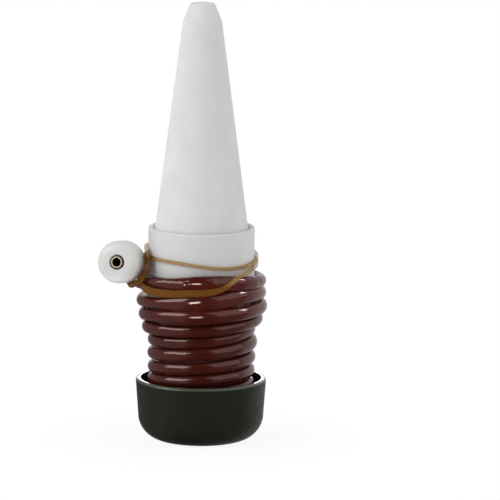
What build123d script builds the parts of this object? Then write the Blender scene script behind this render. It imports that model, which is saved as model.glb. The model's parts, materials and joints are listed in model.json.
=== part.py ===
from build123d import *
import math
import os

# A self watering spike for a plant pot, put away: it stands on its screw cap, with the tip of
# the hollow clay cone up. The supply hose is wound round the neck, its ceramic sinker hangs at
# the side, and a rubber band holds both. The axis is Z, the cap rests on Z = 0, and the front,
# where the band crosses, faces -Y. All sizes are in millimetres, and all angles in degrees.

# Screw cap
cap_height = 15.6
cap_room = 1.75
cap_draft = 0.6
cap_edge_radius = 6.5
cap_wall = 1.2
cap_roof = 2.0
cap_lip_radius = 0.7
boss_height = 6.6
boss_wall = 1.3

# Right-hand thread of the neck and the cap
thread_pitch = 3.0
thread_step = 1.2
thread_ridge = 0.9
thread_root_width = 1.5
thread_crest_width = 0.7
thread_clearance = 0.25
thread_bite = 0.3

# Rubber gasket under the mouth of the neck
gasket_thickness = 1.4
gasket_clearance = 0.2

# Neck with the collar that holds the cone
neck_radius = 10.4
neck_length = 26.3
neck_wall = 2.1
mouth_wall = 1.7
shoulder_height = 4.0
collar_length = 20.1
collar_wall = 1.1
collar_rim_round = 0.35
socket_depth = 14.0
socket_ledge = 1.85
run_out = 0.3

# Clay cone and the cement that holds it
cone_radius = 11.55
cone_length = 56.2
cone_wall = 2.4
tip_radius = 3.0
tip_shoulder_radius = 4.85
tip_chamfer = 4.5
tip_round = 0.7
tip_shoulder_round = 6.0
tip_thickness = 6.0
cement_thickness = 0.6
cement_recess = 0.6
bond_clearance = 0.02

# Supply hose: the last loop is lifted over the band, then settles, some turns before the end
hose_radius = 1.45
hose_wall = 0.45
hose_clearance = 0.05
hose_lead = 2.9
coil_pitch = 3.37
coil_loops = 9
coil_start_angle = 100.0
coil_end_angle = 111.0
coil_seat = 0.75
coil_lean = 1.0
lean_angle = 312.0
coil_climb = 2.45
lift_height = 2.2
lift_begin = 1.3
lift_end = 0.75
settle_depth = 1.7
settle_begin = 0.55
settle_end = 0.31
arcs_per_turn = 4

# Nipple that takes the hose into the neck
nipple_body = 1.8
nipple_ball_radius = 1.5
nipple_leg_radius = 1.2
nipple_bore_radius = 0.6
nipple_fit = 0.05

# Sinker on the free end of the hose
sinker_radius = 5.3
sinker_length = 9.5
sinker_round = 2.2
sinker_clearance = 0.35
sinker_gap = 1.2
sinker_forward = 6.0
sinker_rise = 4.6
sinker_yaw = 14.0
sinker_pitch = 8.6
hose_straight = 3.6
hose_proud = 0.3

# Rubber band
band_radius = 0.5
band_gap = 0.25

# Heights worked out from the sizes
neck_foot = cap_roof + gasket_thickness
boss_top = cap_roof + boss_height
thread_end = boss_top + run_out
ridge_foot = neck_foot + run_out + thread_root_width / 2
ridge_turns = (boss_top - ridge_foot - thread_root_width / 2) / thread_pitch
shoulder_foot = neck_foot + neck_length
shoulder_top = shoulder_foot + shoulder_height
collar_top = shoulder_top + collar_length
socket_floor = collar_top - socket_depth
cone_tip = collar_top + cone_length
coil_turns = coil_loops + (coil_end_angle - coil_start_angle) / 360.0
coil_start = boss_top + coil_seat + hose_radius
coil_top = coil_start + coil_pitch * coil_turns

# Radii worked out from the sizes
thread_core_radius = neck_radius - thread_step
mouth_bore_radius = thread_core_radius - mouth_wall
neck_bore_radius = neck_radius - neck_wall
socket_radius = cone_radius + cement_thickness
collar_radius = socket_radius + collar_wall
collar_bore_radius = socket_radius - socket_ledge
boss_bore_radius = thread_core_radius + thread_ridge + thread_clearance
boss_radius = boss_bore_radius + boss_wall
hose_bore_radius = hose_radius - hose_wall
low_coil_radius = neck_radius + hose_clearance + hose_radius
top_coil_radius = collar_radius + hose_clearance + hose_radius
cap_radius = low_coil_radius + hose_radius + cap_room + cap_wall
sinker_bore_radius = hose_radius + sinker_clearance

# Frame of the sinker: its centre and the way that its bore points, towards the front
sinker_centre = Vector(
    -(collar_radius + sinker_radius + sinker_gap),
    -sinker_forward,
    coil_top + sinker_rise,
)
sinker_axis = Vector(
    -math.sin(math.radians(sinker_yaw)) * math.cos(math.radians(sinker_pitch)),
    -math.cos(math.radians(sinker_yaw)) * math.cos(math.radians(sinker_pitch)),
    math.sin(math.radians(sinker_pitch)),
)


def ease(value, low, high):
    """Go smoothly from 0 at low to 1 at high."""
    share = min(1.0, max(0.0, (value - low) / (high - low)))
    return share * share * (3.0 - 2.0 * share)


def around(angle, radius, height):
    """Point at an angle and a distance from the axis."""
    turn = math.radians(angle)
    return Vector(radius * math.cos(turn), radius * math.sin(turn), height)


def lathe(outline, rounding):
    """Turn a closed outline of radius and height about the axis, with a rounding per corner."""
    line = FilletPolyline(*outline, radius=rounding, close=True)
    return revolve(Plane.XZ * make_face(line), Axis.Z)


def biarc(start, start_way, end, end_way):
    """Two arcs that meet smoothly between two points with given directions."""
    span = end - start
    both = start_way + end_way
    bend = 2.0 * (1.0 - start_way.dot(end_way))
    lean = span.dot(both)
    reach = (-lean + math.sqrt(lean * lean + bend * span.dot(span))) / bend
    middle = (start + end + (start_way - end_way) * reach) * 0.5
    middle_way = ((end - end_way * reach) - (start + start_way * reach)).normalized()
    return [
        Edge.make_tangent_arc(start, start_way, middle),
        Edge.make_tangent_arc(middle, middle_way, end),
    ]


def smooth_path(points, ways):
    """Chain of arcs through points with given directions."""
    edges = []
    for index in range(len(points) - 1):
        edges += biarc(points[index], ways[index], points[index + 1], ways[index + 1])
    return edges


def tube(edges, outer, inner):
    """Tube along a chain of edges, and its volume as a share of section times length."""
    path = Wire(edges)
    plane = Plane(origin=path @ 0, z_dir=path % 0)
    section = plane * Circle(outer)
    if inner > 0:
        section -= plane * Circle(inner)
    solid = sweep(section, path=path)
    expected = math.pi * (outer * outer - inner * inner) * path.length
    return solid, solid.volume / expected


def sample(edges, step):
    """Points about every step along a chain of edges, with how far along they lie."""
    points = []
    travelled = 0.0
    for edge in edges:
        count = max(2, math.ceil(edge.length / step))
        for index in range(count):
            points.append((edge @ (index / count), travelled + edge.length * index / count))
        travelled += edge.length
    return points, travelled


def least_gap(points, width, loop=0.0):
    """Least room between stretches of one line that lie some widths apart along it."""
    widths_apart = 6
    least = math.inf
    for index, (point, place) in enumerate(points):
        for other, other_place in points[index + 1:]:
            along = other_place - place
            if loop:
                along = min(along, loop - along)
            if along > widths_apart * width:
                least = min(least, (point - other).length - width)
    return least


def least_radius(edges):
    """Tightest arc of a chain of edges."""
    return min(edge.radius for edge in edges if edge.geom_type == GeomType.CIRCLE)


def ridge(radius, way):
    """Thread ridge that starts at angle 0, outward for way 1 and inward for way -1."""
    root = thread_root_width / 2
    crest = thread_crest_width / 2
    path = Helix(thread_pitch, ridge_turns * thread_pitch, radius, center=(0, 0, ridge_foot))
    profile = Polyline(
        (radius - way * thread_bite, ridge_foot - root),
        (radius, ridge_foot - root),
        (radius + way * thread_ridge, ridge_foot - crest),
        (radius + way * thread_ridge, ridge_foot + crest),
        (radius, ridge_foot + root),
        (radius - way * thread_bite, ridge_foot + root),
        close=True,
    )
    return sweep(Plane.XZ * make_face(profile), path=path, is_frenet=True)


def make_cap():
    """Cup with a rounded edge, a thin lip and an inner ring that carries the thread."""
    side = cap_radius - cap_draft
    flat = side - cap_edge_radius
    inner_edge = cap_edge_radius - cap_wall
    drop = math.degrees(math.asin((cap_edge_radius - cap_roof) / inner_edge))
    floor_radius = flat + inner_edge * math.cos(math.radians(drop))
    lip_foot = cap_height - cap_lip_radius
    lip_radius = cap_radius - cap_lip_radius
    inner_radius = cap_radius - cap_wall
    outline = [
        Line((0, 0), (flat, 0)),
        CenterArc((flat, cap_edge_radius), cap_edge_radius, -90, 90),
        Line((side, cap_edge_radius), (cap_radius, lip_foot)),
        CenterArc((lip_radius, lip_foot), cap_lip_radius, 0, 90),
        Line((lip_radius, cap_height), (inner_radius, cap_height)),
        Line((inner_radius, cap_height), (side - cap_wall, cap_edge_radius)),
        CenterArc((flat, cap_edge_radius), inner_edge, 0, -drop),
        Line((floor_radius, cap_roof), (boss_radius, cap_roof)),
        Line((boss_radius, cap_roof), (boss_radius, boss_top)),
        Line((boss_radius, boss_top), (boss_bore_radius, boss_top)),
        Line((boss_bore_radius, boss_top), (boss_bore_radius, cap_roof)),
        Line((boss_bore_radius, cap_roof), (0, cap_roof)),
        Line((0, cap_roof), (0, 0)),
    ]
    cup = revolve(Plane.XZ * make_face(outline), Axis.Z)
    # the cap's ridge starts on the far side, so it lies half a pitch from the neck's
    return cup + Rot(0, 0, 180) * ridge(boss_bore_radius, -1)


def make_gasket():
    """Flat rubber washer between the mouth of the neck and the cap."""
    outer = boss_bore_radius - gasket_clearance
    washer = Cylinder(outer, gasket_thickness) - Cylinder(mouth_bore_radius, gasket_thickness)
    return Pos(0, 0, cap_roof + gasket_thickness / 2) * washer


def make_neck():
    """Neck with its threaded mouth, the shoulder, and the collar with the cone's socket."""
    bore_step = neck_bore_radius - mouth_bore_radius
    soft = collar_rim_round
    outline = [
        (mouth_bore_radius, neck_foot),
        (thread_core_radius, neck_foot),
        (thread_core_radius, thread_end),
        (neck_radius, thread_end),
        (neck_radius, shoulder_foot),
        (collar_radius, shoulder_top),
        (collar_radius, collar_top),
        (socket_radius, collar_top),
        (socket_radius, socket_floor),
        (collar_bore_radius, socket_floor),
        (collar_bore_radius, shoulder_top),
        (neck_bore_radius, shoulder_foot),
        (neck_bore_radius, thread_end),
        (mouth_bore_radius, thread_end - bore_step),
    ]
    body = lathe(outline, [soft, soft, 0, 0, 0, soft, soft, soft, 0, 0, 0, 0, 0, 0])
    body += ridge(thread_core_radius, 1)
    return body - nipple_leg(nipple_leg_radius + bond_clearance, bore_step)


def make_cone():
    """Hollow clay cone with a blunt tip and a straight foot in the socket."""
    shoulder = cone_tip - tip_chamfer
    outside = [
        (0, socket_floor),
        (cone_radius, socket_floor),
        (cone_radius, collar_top),
        (tip_shoulder_radius, shoulder),
        (tip_radius, cone_tip),
        (0, cone_tip),
    ]
    slope = (cone_radius - tip_shoulder_radius) / (shoulder - collar_top)
    cavity_radius = cone_radius - cone_wall
    cavity_top = cone_tip - tip_thickness
    cavity_top_radius = cavity_radius - slope * (cavity_top - collar_top)
    inside = [
        (0, socket_floor),
        (cavity_radius, socket_floor),
        (cavity_radius, collar_top),
        (cavity_top_radius, cavity_top),
        (0, cavity_top),
    ]
    body = lathe(outside, [0, 0, 0, tip_shoulder_round, tip_round, 0])
    return body - lathe(inside, [0, 0, 0, cavity_top_radius / 2, 0])


def make_cement():
    """Ring of cement between the foot of the cone and the socket."""
    inner = cone_radius + bond_clearance
    outer = socket_radius - bond_clearance
    top = collar_top - cement_recess
    outline = [(inner, socket_floor), (outer, socket_floor), (outer, top), (inner, top)]
    return lathe(outline, [0, 0, 0, 0])


def coil_height(turn):
    """Height of the hose after so many turns: a steady rise, a lean, and room for the band."""
    start = math.radians(coil_start_angle - lean_angle)
    angle = start + math.tau * turn
    lean = coil_lean * (math.cos(angle) - math.cos(start)) / 2
    to_go = coil_turns - turn
    lifted = lift_height * (1.0 - ease(to_go, lift_end, lift_begin))
    settled = ease(to_go, 0.0, settle_end) - ease(to_go, settle_end, settle_begin)
    return coil_start + coil_pitch * turn + lean + lifted - settle_depth * settled


def coil_point(turn):
    """Point of the winding: close on the neck below, then over the shoulder on the collar."""
    height = coil_height(turn)
    climb = ease(height, shoulder_foot - coil_climb, shoulder_top)
    radius = low_coil_radius + (top_coil_radius - low_coil_radius) * climb
    return around(coil_start_angle + 360.0 * turn, radius, height)


def coil_way(turn):
    """Direction of the winding."""
    nudge = 1e-4
    return (coil_point(turn + nudge) - coil_point(turn - nudge)).normalized()


def coil_end():
    """Place where the winding passes into the free end of the hose."""
    return coil_point(coil_turns) + coil_way(coil_turns) * hose_lead


def coil_edges():
    """Straight end on the nipple, the loops, and a straight end to the free stretch."""
    count = math.ceil(coil_turns * arcs_per_turn)
    turns = [coil_turns * index / count for index in range(count + 1)]
    points = [coil_point(turn) for turn in turns]
    ways = [coil_way(turn) for turn in turns]
    first = Edge.make_line(points[0] - ways[0] * hose_lead, points[0])
    last = Edge.make_line(points[-1], coil_end())
    return [first] + smooth_path(points, ways) + [last]


def tail_edges():
    """Free end of the hose: one bend from the last loop, then straight through the sinker."""
    bend_end = sinker_centre - sinker_axis * (sinker_length / 2 + hose_straight)
    front = sinker_centre + sinker_axis * (sinker_length / 2 + hose_proud)
    bend = biarc(coil_end(), coil_way(coil_turns), bend_end, sinker_axis)
    return bend + [Edge.make_line(bend_end, front)]


def nipple_centre():
    """Middle of the nipple's elbow, behind the straight end of the hose."""
    return coil_point(0.0) - coil_way(0.0) * (hose_lead + nipple_body)


def nipple_leg(radius, past_bore):
    """Leg of the nipple from its elbow inward through the wall of the neck."""
    elbow = nipple_centre()
    inward = Vector(-elbow.X, -elbow.Y, 0)
    length = inward.length - neck_bore_radius + past_bore
    plane = Plane(origin=elbow, z_dir=inward)
    return plane * Pos(0, 0, length / 2) * Cylinder(radius, length)


def make_nipple():
    """Elbow whose leg is pressed into the neck and whose spigot is inside the hose."""
    elbow = nipple_centre()
    arm = Plane(origin=elbow, z_dir=coil_way(0.0))
    spigot_radius = hose_bore_radius - nipple_fit
    spigot_length = nipple_body + hose_lead
    body = Pos(elbow) * Sphere(nipple_ball_radius)
    body += arm * Pos(0, 0, nipple_body / 2) * Cylinder(nipple_leg_radius, nipple_body)
    body += arm * Pos(0, 0, spigot_length / 2) * Cylinder(spigot_radius, spigot_length)
    body += nipple_leg(nipple_leg_radius, 0.0)
    body -= arm * Pos(0, 0, spigot_length / 2) * Cylinder(nipple_bore_radius, spigot_length)
    return body - nipple_leg(nipple_bore_radius, nipple_bore_radius)


def make_sinker():
    """Ceramic bead with soft edges and a bore for the hose."""
    half = sinker_length / 2
    rim = sinker_clearance
    outline = [
        (sinker_bore_radius, -half),
        (sinker_radius, -half),
        (sinker_radius, half),
        (sinker_bore_radius, half),
    ]
    bead = lathe(outline, [rim, sinker_round, sinker_round, rim])
    return Plane(origin=sinker_centre, z_dir=sinker_axis) * bead


def band_points():
    """Route of the band: low and then high round the collar, and once round the hose."""
    on_collar = collar_radius + band_gap + band_radius
    on_coil = top_coil_radius + hose_radius + band_gap + band_radius
    in_groove = top_coil_radius + hose_radius - band_radius
    # angle, distance from the axis, and height above the top of the winding
    lower_wrap = [
        (188, on_coil - 0.35, -1.5),
        (198, on_coil - 0.35, -1.35),
        (206, on_coil, -0.95),
        (213, on_coil, -1.35),
        (220, on_coil - 0.2, -1.85),
        (229, on_coil - 0.7, -2.0),
        (241, in_groove, -2.05),
        (257, in_groove, -1.65),
        (275, in_groove, -1.4),
        (288, on_coil - 0.3, -0.6),
        (297, on_coil, 0.85),
        (306, on_coil - 0.5, 2.3),
        (317, on_coil - 1.1, 2.75),
        (327, on_collar + 0.7, 2.85),
        (337, on_collar, 2.85),
        (352, on_collar, 3.25),
        (376, on_collar, 4.15),
        (406, on_collar, 4.6),
        (436, on_collar, 4.8),
        (466, on_collar, 5.0),
        (496, on_collar + 0.1, 5.2),
        (526, on_collar, 5.4),
        (552, on_collar - 0.1, 5.6),
    ]
    upper_wrap = [
        (214, on_collar, 5.65),
        (232, on_collar, 5.6),
        (252, on_collar, 5.3),
        (270, on_collar, 4.75),
        (290, on_collar, 4.15),
        (312, on_collar, 3.95),
        (334, on_collar, 4.2),
        (356, on_collar, 4.8),
        (378, on_collar, 5.55),
        (406, on_collar, 6.05),
        (436, on_collar, 6.4),
        (466, on_collar, 6.7),
        (496, on_collar, 7.0),
        (524, on_collar, 7.3),
        (547, on_collar + 0.15, 7.4),
        (557, on_collar + 0.3, 7.0),
        (565, on_collar + 1.0, 6.25),
    ]
    # steps from the middle of the sinker: down beside it, round the hose behind it, and back
    beside = [(6.2, -1.6, -0.1), (5.45, -2.2, -2.3), (4.3, -2.3, -4.25), (2.7, -1.8, -5.5)]
    hook = [
        (2.3, 0.4, -6.0),
        (2.1, 3.0, -6.35),
        (0.9, 5.1, -4.9),
        (-0.4, 6.1, -2.65),
        (-0.6, 6.8, -0.45),
        (1.0, 6.9, 1.35),
        (3.3, 6.6, 0.45),
        (3.8, 5.9, -1.75),
        (2.8, 5.4, -3.9),
        (2.75, 4.75, -5.5),
    ]
    points = [around(angle, radius, coil_top + rise) for angle, radius, rise in lower_wrap + upper_wrap]
    points += [sinker_centre + Vector(*step) for step in beside + hook]
    return points


def band_halves():
    """Two chains of arcs that together close the band's loop."""
    points = band_points()
    count = len(points)
    ways = []
    for index in range(count):
        ahead = points[(index + 1) % count]
        behind = points[index - 1]
        ways.append((ahead - behind).normalized())
    points.append(points[0])
    ways.append(ways[0])
    half = count // 2
    first = smooth_path(points[:half + 1], ways[:half + 1])
    second = smooth_path(points[half:], ways[half:])
    return first, second


coil_path = coil_edges()
tail_path = tail_edges()
band_first, band_second = band_halves()
hose_coil, coil_share = tube(coil_path, hose_radius, hose_bore_radius)
hose_tail, tail_share = tube(tail_path, hose_radius, hose_bore_radius)
first_half, first_share = tube(band_first, band_radius, 0.0)
second_half, second_share = tube(band_second, band_radius, 0.0)

pieces = {
    "screw_cap": make_cap(),
    "cap_gasket": make_gasket(),
    "neck_collar": make_neck(),
    "ceramic_cone": make_cone(),
    "cone_cement": make_cement(),
    "hose_nipple": make_nipple(),
    "hose_coil": hose_coil,
    "hose_tail": hose_tail,
    "sinker": make_sinker(),
    "rubber_band": first_half + second_half,
}

os.makedirs("parts", exist_ok=True)
for name, solid in pieces.items():
    export_step(solid, os.path.join("parts", name + ".step"))

# Measures of the wound pieces, on points along their middle lines
hose_points, hose_length = sample(coil_path + tail_path, 1.0)
band_line, band_length = sample(band_first + band_second, 0.5)
hose_gap = least_gap(hose_points, 2 * hose_radius)
band_self_gap = least_gap(band_line, 2 * band_radius, band_length)
nearest = min((point - other).length for point, _ in hose_points for other, _ in band_line)
print("hose length", round(hose_length, 1))
print("hose volume shares", round(coil_share, 5), round(tail_share, 5))
print("hose least gap to itself", round(hose_gap, 3))
print("hose least radii", round(least_radius(coil_path), 2), round(least_radius(tail_path), 2))
print("band length", round(band_length, 1))
print("band volume shares", round(first_share, 5), round(second_share, 5))
print("band least gap to itself", round(band_self_gap, 3))
print("band least radius", round(least_radius(band_first + band_second), 2))
print("band least gap to the hose", round(nearest - hose_radius - band_radius, 3))
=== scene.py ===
import json
import math

import bpy
from mathutils import Matrix, Vector


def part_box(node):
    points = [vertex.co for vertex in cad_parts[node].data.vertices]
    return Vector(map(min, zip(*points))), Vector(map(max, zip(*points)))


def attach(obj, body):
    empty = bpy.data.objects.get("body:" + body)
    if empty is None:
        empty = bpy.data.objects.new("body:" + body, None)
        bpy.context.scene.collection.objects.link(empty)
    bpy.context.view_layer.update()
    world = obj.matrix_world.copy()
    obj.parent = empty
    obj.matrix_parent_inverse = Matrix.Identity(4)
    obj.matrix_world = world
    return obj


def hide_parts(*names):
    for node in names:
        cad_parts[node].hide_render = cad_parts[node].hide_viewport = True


# A self watering spike, put away: it stands on its screw cap with the tip of the clay cone up,
# the supply hose is wound round the neck, and a rubber band holds the hose and its sinker.
# All lengths are in metres, in the frame of the model. The front faces -Y.

MM = 0.001
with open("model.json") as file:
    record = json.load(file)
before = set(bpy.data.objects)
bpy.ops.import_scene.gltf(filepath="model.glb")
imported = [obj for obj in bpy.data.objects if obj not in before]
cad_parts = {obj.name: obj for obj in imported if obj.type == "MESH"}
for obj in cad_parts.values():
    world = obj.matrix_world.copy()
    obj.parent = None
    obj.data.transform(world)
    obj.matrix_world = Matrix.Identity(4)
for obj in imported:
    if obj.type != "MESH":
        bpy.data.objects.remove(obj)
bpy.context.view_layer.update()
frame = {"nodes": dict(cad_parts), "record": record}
nodes = frame["nodes"]

# Camera: a long lens, a little above the object, aimed beside it and turned a little
camera_aim = Vector((12.1, 0.0, 47.96)) * MM
camera_elevation = math.radians(10.0)
camera_roll = math.radians(0.35)
camera_distance = 1.5
view_width = 124.7 * MM
sensor_width = 36.0

# Winding of the hose, as the model has it
neck_radius = 10.4 * MM
collar_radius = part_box("neck_collar")[1].x
hose_radius = 1.45 * MM
hose_bore_radius = 1.1 * MM
hose_clearance = 0.05 * MM
hose_lead = 2.9 * MM
coil_start = 10.8 * MM
coil_pitch = 3.37 * MM
coil_turns = 9.0 + 11.0 / 360.0
coil_start_angle = math.radians(100.0)
coil_lean = 1.0 * MM
lean_angle = math.radians(312.0)
lift_height = 2.2 * MM
lift_begin = 1.3
lift_end = 0.75
settle_depth = 1.7 * MM
settle_begin = 0.55
settle_end = 0.31
climb_foot = 27.25 * MM
climb_top = 33.7 * MM
coil_top = coil_start + coil_pitch * coil_turns
low_coil_radius = neck_radius + hose_clearance + hose_radius
top_coil_radius = collar_radius + hose_clearance + hose_radius
points_per_turn = 24

# How the loops stray from an even winding, and how tall the hose is pressed there:
# turn, millimetres up, millimetres away from the neck, half of the height in millimetres
loop_shifts = [
    (0.0, 0.0, 0.0, 1.6),
    (0.72, 0.35, 0.1, 1.6),
    (1.22, 0.35, 0.1, 1.6),
    (1.5, 0.3, 0.1, 1.6),
    (1.72, 0.25, 0.1, 1.6),
    (1.97, 0.1, 0.0, 1.6),
    (2.22, 0.13, 0.0, 1.6),
    (2.5, 0.2, 0.1, 1.6),
    (2.72, 0.35, 0.3, 1.6),
    (2.97, 0.1, 0.0, 1.6),
    (3.22, 0.26, 0.1, 1.6),
    (3.5, 0.3, 0.2, 1.6),
    (3.72, 0.75, 0.7, 1.85),
    (3.97, 0.3, 0.2, 1.6),
    (4.22, 0.28, 0.0, 1.6),
    (4.5, 0.1, 0.0, 1.6),
    (4.72, 0.65, 0.2, 1.5),
    (4.97, 0.15, 0.3, 1.6),
    (5.22, 0.2, 1.2, 1.6),
    (5.5, -0.25, 0.1, 1.6),
    (5.72, 0.0, 0.4, 1.55),
    (5.97, 0.0, 0.0, 1.5),
    (6.22, 0.0, 0.0, 1.6),
    (6.3, 0.35, 0.0, 1.85),
    (6.4, 0.25, 0.0, 1.9),
    (6.5, 0.0, 0.0, 1.9),
    (6.72, -0.2, 0.3, 1.75),
    (6.85, -0.3, 0.0, 1.5),
    (6.97, 0.0, 0.0, 1.5),
    (7.22, 0.05, 0.0, 1.85),
    (7.32, 0.3, 0.0, 2.2),
    (7.42, 0.35, 0.0, 2.2),
    (7.5, 0.35, 0.0, 2.15),
    (7.57, 0.65, 0.0, 2.1),
    (7.63, 0.5, 0.0, 2.0),
    (7.72, -0.25, 0.0, 1.7),
    (7.85, -0.5, 0.0, 1.5),
    (7.97, 0.0, 0.0, 1.5),
    (8.2, -0.1, 0.0, 1.8),
    (8.34, -0.25, 0.0, 2.15),
    (8.5, -0.5, 0.0, 2.0),
    (8.62, -0.85, 0.0, 1.9),
    (8.7, -0.95, 0.0, 1.75),
    (8.76, -1.4, 0.0, 1.55),
    (8.82, -1.8, 0.0, 1.5),
    (8.9, -1.6, 0.0, 1.5),
    (8.98, -0.8, 0.0, 1.5),
    (9.06, 0.0, 0.0, 1.5),
]

# Skin of the hose, and how far from its ends it is pressed as the loops are
hose_sides = 28
steps_per_point = 5
hose_end_round = 0.08 * MM
free_bore_depth = 14.0 * MM
press_reach = 3.0 * hose_lead

# Rubber band
band_gap = 0.06 * MM
band_thickness = 0.9 * MM
band_squareness = 0.6
band_sides = 16
steps_per_station = 10

# Heights over which the wall of the cap turns into its smoother lip, which is painted paler there as a
# highlight
lip_edge = (15.0 * MM, 15.4 * MM)

# Heights over which the hose turns rippled, where the band pulls at the topmost loops
ripple_edge = (37.0 * MM, 41.0 * MM)

# Where the band turns from less stretched and darker, partly as painted shade, to stretched: up along its
# front, away from the sinker, and up along the strand beside the sinker
front_stretch_and_shade = (41.0 * MM, 43.6 * MM)
side_stretch_and_shade = (-13.6 * MM, -10.0 * MM)
strand_stretch_and_shade = (46.8 * MM, 48.6 * MM)

# Lamps: wide panels on the left and the right, one at the back for the lip of the cap alone,
# and two that glint on the topmost loops alone. Each has a name, its azimuth and elevation in
# degrees, its distance, its size, its power in watts, and the heights that its light keeps to
lamp_aim = Vector((0.0, 0.0, 50.0)) * MM
lip_heights = (5.0 * MM, 18.0 * MM)
glint_heights = (33.0 * MM, 43.5 * MM)
shade_edge = 1.2 * MM
lamps = [
    ("left_panel", -66.0, 33.0, 0.7, (0.7, 0.38), 2.2, None),
    ("right_panel", 60.0, 35.0, 0.8, (1.0, 1.0), 1.8, None),
    ("back_panel", 180.0, 10.0, 0.8, (0.35, 0.12), 0.4, lip_heights),
    ("front_glint", -11.0, 1.0, 0.9, (0.3, 0.2), 2.2, glint_heights),
    ("right_glint", 92.0, 35.0, 0.8, (0.16, 0.16), 1.1, glint_heights),
]

# Room: how bright it is to the front and the back, and how far round it turns from one to the other
room_front = 0.45
room_back = 0.85
room_turn = 0.7

# The room as glossy pieces show it: dark in front, with paler sides and a pale backdrop,
# each of which comes up between two shares of the way towards it
gloss_front = 0.02
gloss_left = 0.28
gloss_right = 0.15
gloss_back = 0.85
side_near = 0.25
side_far = 0.6
backdrop_way = (0.55, 0.83, 0.0)
backdrop_edge = (0.25, 0.95)

# Floor: white to the camera, a little less so round the object, where its shadow shows
floor_width = 8.0
shadow_reach = (17.0 * MM, 45.0 * MM)
shadow_white = 0.92


def ease(value, low, high):
    """Go smoothly from 0 at low to 1 at high."""
    share = min(1.0, max(0.0, (value - low) / (high - low)))
    return share * share * (3.0 - 2.0 * share)


def around(angle, radius, height):
    """Point at an angle, in radians, and a distance from the axis."""
    return Vector((radius * math.cos(angle), radius * math.sin(angle), height))


def coil_height(turn):
    """Height of the hose after so many turns: a steady rise, a lean, and room for the band."""
    start = coil_start_angle - lean_angle
    angle = start + math.tau * turn
    lean = coil_lean * (math.cos(angle) - math.cos(start)) / 2
    to_go = coil_turns - turn
    lifted = lift_height * (1.0 - ease(to_go, lift_end, lift_begin))
    settled = ease(to_go, 0.0, settle_end) - ease(to_go, settle_end, settle_begin)
    return coil_start + coil_pitch * turn + lean + lifted - settle_depth * settled


def loop_shift(turn):
    """How a loop strays at a turn: up, away from the neck, and half of its height."""
    turn = min(turn, loop_shifts[-1][0])
    before, after = next(pair for pair in zip(loop_shifts, loop_shifts[1:]) if turn <= pair[1][0])
    share = ease(turn, before[0], after[0])
    return [(low + (high - low) * share) * MM for low, high in zip(before[1:], after[1:])]


def coil_point(turn, spread=1.0):
    """Point of the winding: close on the neck below, then over the shoulder on the collar."""
    height = coil_height(turn)
    climb = ease(height, climb_foot, climb_top)
    radius = low_coil_radius + (top_coil_radius - low_coil_radius) * climb
    up, away = loop_shift(turn)[:2]
    return around(coil_start_angle + math.tau * turn, (radius + away) * spread, height + up)


def coil_way(turn):
    """Direction of the winding."""
    nudge = 1e-4
    return (coil_point(turn + nudge) - coil_point(turn - nudge)).normalized()


def hose_inlet():
    """Open end of the hose, the way that it faces, and the length of the straight end."""
    inlet = next(mount for mount in frame["record"]["mounts"] if mount["name"] == "hose_inlet")
    return Vector(inlet["pos_m"]), Vector(inlet["axis"]), inlet["dims"]["length_mm"] * MM


def hose_route():
    """Control points of the hose: straight off the nipple, the loops, then into the sinker."""
    # the smooth line runs inside its control points by this much
    spread = 1.0 / math.cos(math.pi / points_per_turn)
    count = round(coil_turns * points_per_turn)
    points = [coil_point(0.0) - coil_way(0.0) * hose_lead]
    points += [coil_point(coil_turns * index / count, spread) for index in range(count + 1)]
    front, out, straight = hose_inlet()
    coil_end = coil_point(coil_turns) + coil_way(coil_turns) * hose_lead
    bend_reach = 4.0 * MM
    points += [
        coil_end,
        coil_end + coil_way(coil_turns) * bend_reach,
        front - out * (straight + bend_reach),
        front - out * straight,
        front,
    ]
    return points


def smooth_line(points):
    """Points along the smooth open curve with these control points."""
    curve = bpy.data.curves.new("hose_line", "CURVE")
    curve.dimensions = "3D"
    curve.resolution_u = steps_per_point
    spline = curve.splines.new("NURBS")
    spline.points.add(len(points) - 1)
    for target, point in zip(spline.points, points):
        target.co = (*point, 1.0)
    spline.order_u = 3
    spline.use_endpoint_u = True
    return read_line(curve)


def looped_line(points):
    """Points along the smooth closed curve through these points."""
    curve = bpy.data.curves.new("band_line", "CURVE")
    curve.dimensions = "3D"
    curve.resolution_u = steps_per_station
    spline = curve.splines.new("BEZIER")
    spline.bezier_points.add(len(points) - 1)
    for target, point in zip(spline.bezier_points, points):
        target.co = point
        target.handle_left_type = "AUTO"
        target.handle_right_type = "AUTO"
    spline.use_cyclic_u = True
    return read_line(curve)


def read_line(curve):
    """Points of a bare curve, which is then removed."""
    carrier = bpy.data.objects.new("line_carrier", curve)
    mesh = bpy.data.meshes.new_from_object(carrier)
    line = [vertex.co.copy() for vertex in mesh.vertices]
    bpy.data.meshes.remove(mesh)
    bpy.data.curves.remove(curve)
    return line


def line_ways(line, closed=False):
    """Direction at each point of a line."""
    count = len(line)
    ways = []
    for index in range(count):
        ahead = line[(index + 1) % count] if closed else line[min(index + 1, count - 1)]
        behind = line[index - 1] if closed else line[max(index - 1, 0)]
        ways.append((ahead - behind).normalized())
    return ways


def line_turns(line):
    """Turns round the neck up to each point of a line that starts where the winding starts."""
    turns = [0.0]
    for before, point in zip(line, line[1:]):
        step = before.xy.angle_signed(point.xy)
        turns.append(turns[-1] - step / math.tau)
    return turns


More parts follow.
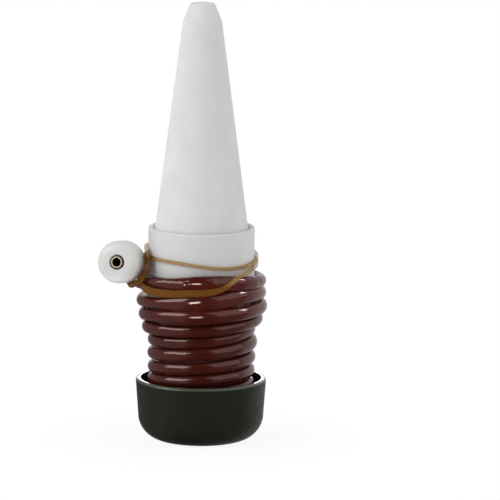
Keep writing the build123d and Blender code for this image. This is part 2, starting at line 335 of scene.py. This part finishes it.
def loft(name, rings, closed=False, shift=0):
    """Smooth mesh through rings of points, capped at both ends unless it is closed."""
    sides = len(rings[0])
    vertices = [point for ring in rings for point in ring]
    count = len(rings)
    faces = []
    for index in range(count if closed else count - 1):
        turn = shift if index == count - 1 else 0
        here = index * sides
        there = ((index + 1) % count) * sides
        for side in range(sides):
            after = (side + 1) % sides
            faces.append((
                here + side,
                here + after,
                there + (after + turn) % sides,
                there + (side + turn) % sides,
            ))
    if not closed:
        faces.append(tuple(reversed(range(sides))))
        faces.append(tuple(range((count - 1) * sides, count * sides)))
    mesh = bpy.data.meshes.new(name)
    mesh.from_pydata(vertices, [], faces)
    mesh.update()
    mesh.shade_smooth()
    piece = bpy.data.objects.new(name, mesh)
    bpy.context.scene.collection.objects.link(piece)
    return piece


def make_hose():
    """Hose with its open ends, from the nipple round the neck and through the sinker."""
    line = smooth_line(hose_route())
    ways = line_ways(line)
    last = len(line) - 1
    front, out, straight = hose_inlet()
    # round at both ends, pressed flat in the winding
    heights = []
    for point, turn in zip(line, line_turns(line)):
        from_ends = min((point - line[0]).length, (point - front).length - straight)
        pressed = ease(from_ends, 0.0, press_reach)
        heights.append(hose_radius + (loop_shift(turn)[2] - hose_radius) * pressed)
    bore_points = 1
    while (line[last] - line[last - bore_points]).length < free_bore_depth:
        bore_points += 1
    # ring, inset from the skin, push along the hose; the cut end has rounded edges
    rim = hose_end_round
    rim_middle = 0.3 * rim
    chain = [(0, -hose_bore_radius, 0.0), (0, 0.0, 0.0)]
    chain += [(index, 0.0, 0.0) for index in range(1, last)]
    first_cut_ring = len(chain)
    chain += [
        (last, 0.0, -rim),
        (last, rim_middle, -rim_middle),
        (last, rim, 0.0),
        (last, -hose_bore_radius - rim, 0.0),
        (last, -hose_bore_radius - rim_middle, -rim_middle),
        (last, -hose_bore_radius, -rim),
    ]
    last_cut_ring = len(chain) - 1
    chain += [(last - index, -hose_bore_radius, 0.0) for index in range(1, bore_points)]
    rings = []
    for index, inset, push in chain:
        outward = Vector((line[index].x, line[index].y, 0.0))
        side = (outward - ways[index] * outward.dot(ways[index])).normalized()
        across = ways[index].cross(side)
        centre = line[index] + ways[index] * push
        # a negative inset stands for a round bore of that radius
        half_depth = -inset if inset < 0 else hose_radius - inset
        half_height = -inset if inset < 0 else heights[index] - inset
        ring = []
        for step in range(hose_sides):
            angle = math.tau * step / hose_sides
            ring.append(centre + side * math.cos(angle) * half_depth + across * math.sin(angle) * half_height)
        rings.append(ring)
    hose = loft("supply_hose", rings)
    for face in hose.data.polygons[first_cut_ring * hose_sides:last_cut_ring * hose_sides]:
        face.material_index = 1
    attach(hose, "spike")
    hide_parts("hose_coil", "hose_tail")
    return hose


def band_stations():
    """Route of the band, with the way that its flat side faces and its width."""
    on_collar = collar_radius + band_gap + band_thickness / 2
    on_coil = top_coil_radius + hose_radius + band_gap + band_thickness / 2
    in_groove = top_coil_radius + hose_radius - 0.5 * MM
    low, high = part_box("sinker")
    sinker = (low + high) / 2
    sinker_axis = hose_inlet()[1]
    # angle in degrees, distance from the axis, millimetres above the winding, width
    lower_wrap = [
        (188, on_coil - 0.35 * MM, -1.5, 1.4),
        (198, on_coil - 0.35 * MM, -1.35, 1.6),
        (206, on_coil, -0.95, 1.8),
        (213, on_coil, -1.35, 1.9),
        (220, on_coil - 0.2 * MM, -1.85, 2.0),
        (229, on_coil - 0.7 * MM, -2.0, 2.0),
        (241, in_groove, -2.05, 1.9),
        (257, in_groove, -1.65, 1.9),
        (275, in_groove, -1.4, 1.9),
        (288, on_coil - 0.3 * MM, -0.6, 1.45),
        (297, on_coil, 0.85, 1.15),
        (306, on_coil - 0.5 * MM, 2.3, 1.05),
        (317, on_coil - 1.1 * MM, 2.75, 1.0),
        (327, on_collar + 0.7 * MM, 2.85, 1.0),
        (337, on_collar, 2.85, 1.0),
        (352, on_collar, 3.25, 1.0),
        (376, on_collar, 4.15, 1.0),
        (406, on_collar, 4.6, 1.0),
        (436, on_collar, 4.8, 1.0),
        (466, on_collar, 5.0, 1.0),
        (496, on_collar + 0.1 * MM, 5.2, 1.0),
        (526, on_collar, 5.4, 1.0),
        (552, on_collar - 0.1 * MM, 5.6, 1.0),
    ]
    upper_wrap = [
        (214, on_collar, 5.65, 0.95),
        (232, on_collar, 5.6, 0.95),
        (252, on_collar, 5.3, 0.95),
        (270, on_collar, 4.75, 0.95),
        (290, on_collar, 4.15, 0.95),
        (312, on_collar, 3.95, 0.95),
        (334, on_collar, 4.2, 0.95),
        (356, on_collar, 4.8, 0.95),
        (378, on_collar, 5.55, 0.95),
        (406, on_collar, 6.05, 0.95),
        (436, on_collar, 6.4, 0.95),
        (466, on_collar, 6.7, 0.95),
        (496, on_collar, 7.0, 0.95),
        (524, on_collar, 7.3, 1.0),
        (547, on_collar + 0.15 * MM, 7.4, 1.2),
        (557, on_collar + 0.3 * MM, 7.0, 1.3),
        (565, on_collar + 1.0 * MM, 6.25, 1.4),
    ]
    # millimetres from the middle of the sinker, and width: beside it, then round the hose behind it
    beside = [
        (6.5, -1.6, -0.1, 1.6),
        (5.85, -2.2, -2.3, 1.6),
        (4.6, -2.3, -4.25, 1.5),
        (2.8, -1.8, -5.5, 1.3),
    ]
    hook = [
        (2.3, 0.4, -6.0, 1.2),
        (2.1, 3.0, -6.35, 1.1),
        (0.9, 5.1, -4.9, 1.1),
        (-0.4, 6.1, -2.65, 1.1),
        (-0.6, 6.8, -0.45, 1.1),
        (1.0, 6.9, 1.35, 1.1),
        (3.3, 6.6, 0.45, 1.1),
        (3.8, 5.9, -1.75, 1.1),
        (2.8, 5.4, -3.9, 1.1),
        (2.75, 4.75, -5.5, 1.2),
    ]
    stations = []
    for degrees, radius, rise, width in lower_wrap + upper_wrap:
        angle = math.radians(degrees)
        point = around(angle, radius, coil_top + rise * MM)
        stations.append((point, around(angle, 1.0, 0.0), width * MM))
    for *step, width in beside:
        stations.append((sinker + Vector(step) * MM, sinker_axis, width * MM))
    for *step, width in hook:
        step = Vector(step) * MM
        facing = (step - sinker_axis * step.dot(sinker_axis)).normalized()
        stations.append((sinker + step, facing, width * MM))
    return stations


def squared(share):
    """Push a share of a round outline outward, towards that of a square one."""
    return math.copysign(abs(share) ** band_squareness, share)


def make_band():
    """Stretched rubber band: a flat strand with rounded edges along its closed route."""
    stations = band_stations()
    line = looped_line([station[0] for station in stations])
    ways = line_ways(line, closed=True)
    count = len(stations)
    rings = []
    facing = stations[0][1]
    first_facing = None
    for index, (point, way) in enumerate(zip(line, ways)):
        station = index / steps_per_station
        here = stations[int(station) % count]
        there = stations[(int(station) + 1) % count]
        share = station - int(station)
        wanted = []
        for side in (here[1], there[1]):
            wanted.append(side if side.dot(facing) >= 0 else -side)
        mixed = wanted[0].lerp(wanted[1], share)
        facing = (mixed - way * mixed.dot(way)).normalized()
        if first_facing is None:
            first_facing = facing.copy()
        across = way.cross(facing)
        width = here[2] + (there[2] - here[2]) * share
        ring = []
        for step in range(band_sides):
            angle = math.tau * step / band_sides
            flat = squared(math.cos(angle)) * width / 2
            deep = squared(math.sin(angle)) * band_thickness / 2
            ring.append(point + across * flat + facing * deep)
        rings.append(ring)
    shift = 0 if facing.dot(first_facing) >= 0 else band_sides // 2
    band = loft("stretched_band", rings, closed=True, shift=shift)
    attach(band, "spike")
    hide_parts("rubber_band")
    return band


class Shading:
    """Short calls for the shader nodes of the materials, the lamps and the world."""

    def __init__(self, tree):
        self.tree = tree

    def add(self, kind, **settings):
        node = self.tree.nodes.new(kind)
        for setting, value in settings.items():
            setattr(node, setting, value)
        return node

    def put(self, socket, value):
        """Link a socket to a socket, or set its value."""
        if isinstance(value, bpy.types.NodeSocket):
            self.tree.links.new(value, socket)
        else:
            socket.default_value = value

    def feed(self, node, **values):
        """Set or link the named inputs of a node; spaces in names are written as underscores."""
        for name, value in values.items():
            self.put(node.inputs[name.replace("_", " ")], value)
        return node

    def range(self, value, low, high, to_low, to_high):
        node = self.add("ShaderNodeMapRange", interpolation_type="SMOOTHSTEP")
        self.feed(node, Value=value, From_Min=low, From_Max=high, To_Min=to_low, To_Max=to_high)
        return node.outputs[0]

    def math(self, operation, first, second):
        node = self.add("ShaderNodeMath", operation=operation)
        self.put(node.inputs[0], first)
        self.put(node.inputs[1], second)
        return node.outputs[0]

    def mix(self, share, low, high):
        """Number between two numbers."""
        node = self.add("ShaderNodeMix")
        for socket, value in zip((node.inputs[0], node.inputs[2], node.inputs[3]), (share, low, high)):
            self.put(socket, value)
        return node.outputs[0]

    def finish_tree(self, kind, shader):
        """Link a shader to the output."""
        self.tree.links.new(shader.outputs[0], self.add(kind).inputs[0])


class Finish(Shading):
    """One material of a piece."""

    def __init__(self, name, colour, roughness):
        self.material = bpy.data.materials.new(name)
        self.material.use_nodes = True
        super().__init__(self.material.node_tree)
        self.surface = self.tree.nodes["Principled BSDF"]
        self.set(Base_Color=(*colour, 1.0), Roughness=roughness)
        self.place = self.add("ShaderNodeTexCoord").outputs["Object"]

    def set(self, **values):
        self.feed(self.surface, **values)

    def noise(self, grain, detail=3.0, roughness=0.55, squeeze=(1.0, 1.0, 1.0)):
        """Soft noise whose lumps are about grain across."""
        place = self.add("ShaderNodeMapping")
        self.feed(place, Vector=self.place, Scale=squeeze)
        node = self.add("ShaderNodeTexNoise")
        self.feed(node, Vector=place.outputs[0], Scale=1.0 / grain, Detail=detail, Roughness=roughness)
        return node.outputs["Fac"]

    def spots(self, spacing, size):
        """Round spots about spacing apart: 1 in their middle, 0 beyond their size."""
        node = self.add("ShaderNodeTexVoronoi")
        self.feed(node, Vector=self.place, Scale=1.0 / spacing, Randomness=1.0)
        return self.range(node.outputs["Distance"], 0.0, size / spacing, 1.0, 0.0)

    def blend(self, share, low, high):
        """Colour between two colours, or one colour and a link."""
        node = self.add("ShaderNodeMix", data_type="RGBA")
        self.put(node.inputs["Factor"], share)
        for socket, value in ((node.inputs[6], low), (node.inputs[7], high)):
            self.put(socket, value if isinstance(value, bpy.types.NodeSocket) else (*value, 1.0))
        return node.outputs[2]

    def bump(self, height, depth, under=None):
        """Relief of a height from 0 to 1, depth high."""
        node = self.add("ShaderNodeBump")
        self.feed(node, Height=height, Distance=depth, Strength=1.0)
        if under is not None:
            self.feed(node, Normal=under)
        return node.outputs[0]

    def paint(self, *pieces):
        """Give the finish to pieces, after the finishes that they have already."""
        for piece in pieces:
            piece.data.materials.append(self.material)


def clay_finish():
    """Unglazed clay: soft mottling, fine grain and scattered pits that are painted darker inside as shade."""
    finish = Finish("porous_clay", (0.8, 0.8, 0.79), 0.9)
    cloud = finish.noise(9.0 * MM, detail=4.0)
    grain = finish.noise(0.55 * MM, detail=4.0, roughness=0.65)
    clouded = finish.range(cloud, 0.4, 0.65, 0.0, 1.0)
    pits = finish.math("MULTIPLY", finish.spots(2.6 * MM, 0.34 * MM), clouded)
    mixed = finish.math("ADD", finish.math("MULTIPLY", cloud, 0.6), finish.math("MULTIPLY", grain, 0.4))
    tone = finish.blend(finish.range(mixed, 0.3, 0.7, 0.0, 1.0), (0.76, 0.758, 0.75), (0.84, 0.84, 0.835))
    # the pits are painted darker: painted shade in their hollows
    finish.set(Base_Color=finish.blend(pits, tone, (0.5, 0.49, 0.47)))
    relief = finish.bump(grain, 0.035 * MM)
    relief = finish.bump(finish.math("SUBTRACT", 1.0, pits), 0.12 * MM, relief)
    finish.set(Normal=relief, Specular_IOR_Level=0.25)
    return finish


def neck_finish():
    """Smooth moulded white plastic, faintly cloudy."""
    finish = Finish("white_plastic", (0.78, 0.78, 0.78), 0.38)
    cloud = finish.noise(6.0 * MM)
    finish.set(Base_Color=finish.blend(cloud, (0.75, 0.75, 0.75), (0.81, 0.81, 0.81)))
    finish.set(Roughness=finish.range(finish.noise(1.2 * MM), 0.3, 0.7, 0.32, 0.46))
    finish.set(Normal=finish.bump(finish.noise(2.2 * MM), 0.02 * MM))
    finish.set(Subsurface_Weight=0.12, Subsurface_Radius=(1.0, 1.0, 1.0), Subsurface_Scale=0.6 * MM)
    return finish


def cement_finish():
    """Pale gritty cement."""
    finish = Finish("pale_cement", (0.76, 0.755, 0.74), 0.95)
    grit = finish.noise(0.35 * MM, detail=5.0)
    finish.set(Base_Color=finish.blend(grit, (0.7, 0.695, 0.68), (0.82, 0.815, 0.8)))
    finish.set(Normal=finish.bump(grit, 0.06 * MM))
    return finish


def hose_finish():
    """Glossy brown vinyl with a slightly uneven skin."""
    finish = Finish("brown_vinyl", (0.075, 0.01, 0.006), 0.12)
    cloud = finish.noise(4.0 * MM, detail=3.0)
    finish.set(Base_Color=finish.blend(cloud, (0.052, 0.0065, 0.004), (0.084, 0.014, 0.009)))
    finish.set(Roughness=finish.range(finish.noise(1.5 * MM), 0.3, 0.7, 0.06, 0.14))
    axes = finish.feed(finish.add("ShaderNodeSeparateXYZ"), Vector=finish.place)
    pulled = finish.range(axes.outputs["Z"], *ripple_edge, 0.0, 1.0)
    ripples = finish.math("MULTIPLY", finish.noise(2.4 * MM, detail=1.0), pulled)
    skin = finish.bump(finish.noise(3.2 * MM, detail=2.0), 0.12 * MM)
    skin = finish.bump(ripples, 0.22 * MM, skin)
    finish.set(Normal=finish.bump(finish.noise(0.5 * MM), 0.006 * MM, skin))
    finish.set(Specular_IOR_Level=0.9, Specular_Tint=(1.0, 0.82, 0.78, 1.0))
    return finish


def cut_finish():
    """Cut end of the hose, painted pale as the highlight that its cut face catches."""
    # pale streaked colour: a painted highlight on the cut face, not the colour of the vinyl
    finish = Finish("cut_vinyl", (0.6, 0.52, 0.36), 0.35)
    streaks = finish.noise(0.3 * MM, detail=3.0)
    finish.set(Base_Color=finish.blend(streaks, (0.45, 0.36, 0.2), (0.75, 0.7, 0.55)))
    finish.set(Normal=finish.bump(streaks, 0.02 * MM))
    return finish


def cap_finish():
    """Satin dark green plastic with fine scuffs, and a smoother lip that is painted paler as a highlight."""
    finish = Finish("green_plastic", (0.016, 0.019, 0.012), 0.45)
    cloud = finish.noise(7.0 * MM, detail=4.0)
    scuffs = finish.noise(1.4 * MM, detail=5.0, roughness=0.7, squeeze=(0.35, 0.35, 1.6))
    axes = finish.feed(finish.add("ShaderNodeSeparateXYZ"), Vector=finish.place)
    lip = finish.range(axes.outputs["Z"], *lip_edge, 0.0, 1.0)
    wall = finish.blend(cloud, (0.0121, 0.0164, 0.0084), (0.0216, 0.0265, 0.0157))
    # the paler colour of the lip is a painted highlight
    finish.set(Base_Color=finish.blend(lip, wall, (0.09, 0.1, 0.075)))
    worn = finish.mix(lip, finish.range(scuffs, 0.35, 0.7, 0.38, 0.54), 0.1)
    finish.set(Roughness=worn, Specular_IOR_Level=finish.mix(lip, 0.22, 1.0))
    finish.set(Normal=finish.bump(finish.noise(0.7 * MM, detail=4.0), 0.012 * MM))
    return finish


def gasket_finish():
    """Soft black rubber with a dusty bloom."""
    finish = Finish("black_rubber", (0.02, 0.02, 0.02), 0.75)
    bloom = finish.noise(1.6 * MM, detail=4.0)
    finish.set(Base_Color=finish.blend(bloom, (0.014, 0.014, 0.014), (0.035, 0.035, 0.034)))
    finish.set(Normal=finish.bump(finish.noise(0.3 * MM), 0.015 * MM))
    return finish


def sinker_finish():
    """White ceramic under a thin satin glaze, with a few specks."""
    finish = Finish("glazed_ceramic", (0.8, 0.8, 0.79), 0.35)
    cloud = finish.noise(3.0 * MM, detail=3.0)
    tone = finish.blend(cloud, (0.77, 0.765, 0.75), (0.84, 0.84, 0.83))
    finish.set(Base_Color=finish.blend(finish.spots(2.2 * MM, 0.2 * MM), tone, (0.6, 0.57, 0.52)))
    finish.set(Normal=finish.bump(finish.noise(0.9 * MM, detail=3.0), 0.03 * MM))
    finish.set(Coat_Weight=0.35, Coat_Roughness=0.18)
    return finish


def band_finish():
    """Amber rubber: darker and more opaque where it is less stretched, partly as painted shade over the gap
    behind the lower strand and on the strand beside the sinker; paler and more translucent where it is
    stretched.
    """
    finish = Finish("amber_rubber", (0.2, 0.078, 0.011), 0.6)
    cloud = finish.noise(2.5 * MM, detail=3.0)
    axes = finish.feed(finish.add("ShaderNodeSeparateXYZ"), Vector=finish.place)
    front = finish.range(axes.outputs["Z"], *front_stretch_and_shade, 1.0, 0.0)
    side = finish.range(axes.outputs["X"], *side_stretch_and_shade, 1.0, 0.0)
    strand = finish.range(axes.outputs["Z"], *strand_stretch_and_shade, 1.0, 0.0)
    # the darker, more opaque parts are partly thicker rubber, partly painted shade
    dense_and_shaded = finish.math("MAXIMUM", front, finish.math("MULTIPLY", side, strand))
    slack_and_shaded = finish.blend(cloud, (0.138, 0.045, 0.005), (0.187, 0.069, 0.009))
    stretched = finish.blend(cloud, (0.44, 0.26, 0.075), (0.5, 0.31, 0.1))
    finish.set(Base_Color=finish.blend(dense_and_shaded, stretched, slack_and_shaded))
    finish.set(Normal=finish.bump(finish.noise(0.35 * MM, detail=4.0), 0.02 * MM))
    finish.set(Alpha=finish.mix(dense_and_shaded, 0.46, 0.85), Specular_IOR_Level=0.1)
    return finish


def make_camera():
    """Camera at the photograph's height, on the front side."""
    data = bpy.data.cameras.new("photo_camera")
    data.sensor_width = sensor_width
    data.lens = sensor_width * camera_distance / view_width
    camera = bpy.data.objects.new("photo_camera", data)
    back = Vector((0.0, -math.cos(camera_elevation), math.sin(camera_elevation)))
    camera.location = camera_aim + back * camera_distance
    tilt = Matrix.Rotation(math.pi / 2 - camera_elevation, 4, "X")
    camera.rotation_euler = (tilt @ Matrix.Rotation(camera_roll, 4, "Z")).to_euler()
    bpy.context.scene.collection.objects.link(camera)
    bpy.context.scene.camera = camera


def make_lamp(name, azimuth, elevation, distance, size, power, heights):
    """Soft flat lamp that points at the middle of the object; azimuth 0 is behind the camera."""
    data = bpy.data.lights.new(name, "AREA")
    data.shape = "RECTANGLE"
    data.size, data.size_y = size
    data.energy = power
    lamp = bpy.data.objects.new(name, data)
    turn = math.radians(azimuth)
    lift = math.radians(elevation)
    away = Vector((math.sin(turn) * math.cos(lift), -math.cos(turn) * math.cos(lift), math.sin(lift)))
    lamp.location = lamp_aim + away * distance
    lamp.rotation_euler = (-away).to_track_quat("-Z", "Y").to_euler()
    lamp.visible_camera = False
    bpy.context.scene.collection.objects.link(lamp)
    if heights is not None:
        confine(data, *heights)


def confine(lamp, low, high):
    """Keep the light of a lamp between two heights, with soft edges."""
    lamp.use_nodes = True
    lamp.node_tree.nodes.clear()
    shading = Shading(lamp.node_tree)
    geometry = shading.add("ShaderNodeNewGeometry").outputs
    beam = shading.add("ShaderNodeVectorMath", operation="SCALE")
    shading.put(beam.inputs[0], geometry["Incoming"])
    shading.put(beam.inputs["Scale"], shading.add("ShaderNodeLightPath").outputs["Ray Length"])
    target = shading.add("ShaderNodeVectorMath", operation="ADD")
    shading.put(target.inputs[0], geometry["Position"])
    shading.put(target.inputs[1], beam.outputs[0])
    axes = shading.feed(shading.add("ShaderNodeSeparateXYZ"), Vector=target.outputs[0])
    above = shading.range(axes.outputs["Z"], low, low + shade_edge, 0.0, 1.0)
    below = shading.range(axes.outputs["Z"], high - shade_edge, high, 1.0, 0.0)
    between = shading.math("MULTIPLY", above, below)
    emission = shading.feed(shading.add("ShaderNodeEmission"), Strength=between)
    shading.finish_tree("ShaderNodeOutputLight", emission)


def make_world():
    """White behind the object, also where it shines; a dim room in front lights the object."""
    world = bpy.data.worlds.new("studio")
    bpy.context.scene.world = world
    world.use_nodes = True
    world.node_tree.nodes.clear()
    shading = Shading(world.node_tree)
    ray = shading.add("ShaderNodeLightPath").outputs
    way = shading.add("ShaderNodeTexCoord").outputs["Generated"]
    axes = shading.feed(shading.add("ShaderNodeSeparateXYZ"), Vector=way)
    room = shading.range(axes.outputs["Y"], -room_turn, room_turn, room_front, room_back)
    aside = shading.add("ShaderNodeVectorMath", operation="DOT_PRODUCT")
    shading.put(aside.inputs[0], way)
    shading.put(aside.inputs[1], backdrop_way)
    backdrop = shading.range(aside.outputs["Value"], *backdrop_edge, gloss_front, gloss_back)
    left = shading.range(axes.outputs["X"], -side_far, -side_near, gloss_left, gloss_front)
    right = shading.range(axes.outputs["X"], side_near, side_far, gloss_front, gloss_right)
    mirrored = shading.math("MAXIMUM", backdrop, shading.math("MAXIMUM", left, right))
    shiny = shading.math("MAXIMUM", ray["Is Glossy Ray"], ray["Is Transmission Ray"])
    strength = shading.mix(ray["Is Camera Ray"], shading.mix(shiny, room, mirrored), 1.0)
    background = shading.feed(shading.add("ShaderNodeBackground"), Strength=strength)
    shading.finish_tree("ShaderNodeOutputWorld", background)


def make_floor():
    """Wide pale floor that is white to the camera and keeps a soft shadow round the object."""
    half = floor_width / 2
    corners = [(-half, -half, 0.0), (half, -half, 0.0), (half, half, 0.0), (-half, half, 0.0)]
    mesh = bpy.data.meshes.new("floor")
    mesh.from_pydata(corners, [], [(0, 1, 2, 3)])
    floor = bpy.data.objects.new("floor", mesh)
    bpy.context.scene.collection.objects.link(floor)
    # the dark plastics shine without a pale floor in them
    floor.visible_glossy = False
    material = bpy.data.materials.new("pale_floor")
    material.use_nodes = True
    material.node_tree.nodes.clear()
    shading = Shading(material.node_tree)
    ray = shading.add("ShaderNodeLightPath").outputs
    seen = shading.math("MAXIMUM", ray["Is Camera Ray"], ray["Is Transmission Ray"])
    distance = shading.add("ShaderNodeVectorMath", operation="LENGTH")
    shading.put(distance.inputs[0], shading.add("ShaderNodeTexCoord").outputs["Object"])
    white = shading.range(distance.outputs["Value"], *shadow_reach, shadow_white, 1.0)
    diffuse = shading.feed(shading.add("ShaderNodeBsdfDiffuse"), Color=(0.9, 0.9, 0.9, 1.0))
    glow = shading.add("ShaderNodeEmission")
    both = shading.add("ShaderNodeMixShader")
    shading.put(both.inputs[0], shading.math("MULTIPLY", seen, white))
    shading.put(both.inputs[1], diffuse.outputs[0])
    shading.put(both.inputs[2], glow.outputs[0])
    shading.finish_tree("ShaderNodeOutputMaterial", both)
    mesh.materials.append(material)


make_camera()
for node in nodes.values():
    node.data.materials.clear()
hose = make_hose()
band = make_band()

clay_finish().paint(nodes["ceramic_cone"])
neck_finish().paint(nodes["neck_collar"], nodes["hose_nipple"])
cement_finish().paint(nodes["cone_cement"])
hose_finish().paint(hose)
cut_finish().paint(hose)
cap_finish().paint(nodes["screw_cap"])
gasket_finish().paint(nodes["cap_gasket"])
sinker_finish().paint(nodes["sinker"])
band_finish().paint(band)

make_world()
make_floor()
for lamp in lamps:
    make_lamp(*lamp)
bpy.context.scene.view_settings.view_transform = "Standard"
